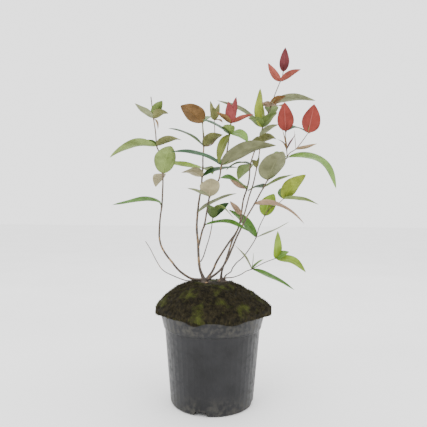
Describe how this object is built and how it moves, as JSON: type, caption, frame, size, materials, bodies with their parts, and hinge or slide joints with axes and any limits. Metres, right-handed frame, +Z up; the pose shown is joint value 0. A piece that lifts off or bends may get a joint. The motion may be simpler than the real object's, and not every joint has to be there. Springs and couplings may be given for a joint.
{
  "type": "potted tutsan shrub",
  "caption": "Young leggy tutsan shrub, Hypericum androsaemum, in a round dark plastic 15 cm nursery pot heaped with mossy soil.",
  "frame": {"origin": "middle of the pot's flat underside", "axes": "+Z up out of the pot, -Y towards the front of the plant"},
  "size_m": [0.3082, 0.155, 0.5183],
  "materials": {
    "dark_plastic": "satin",
    "moss_and_soil": "matte",
    "brown_bark": "matte",
    "leaf_green": "satin",
    "leaf_red": "satin"
  },
  "bodies": {
    "root": {"back_foliage": "leaf_green", "back_stem": "brown_bark", "bare_stalk": "brown_bark", "front_foliage": "leaf_green", "front_stem": "brown_bark", "left_foliage": "leaf_green", "left_stem_arch": "brown_bark", "left_stem_upright": "brown_bark", "low_foliage": "leaf_green", "low_stem": "brown_bark", "middle_foliage": "leaf_green", "middle_stem": "brown_bark", "pot": "dark_plastic", "red_foliage": "leaf_red", "right_foliage": "leaf_green", "right_stem": "brown_bark", "root_crown_left": "brown_bark", "root_crown_right": "brown_bark", "slim_foliage": "leaf_green", "slim_stem": "brown_bark", "soil_and_moss": "moss_and_soil", "tall_lower_foliage": "leaf_green", "tall_stem": "brown_bark", "tall_top_foliage": "leaf_green", "vee_foliage": "leaf_green", "vee_stem": "brown_bark"}
  },
  "joints": []
}
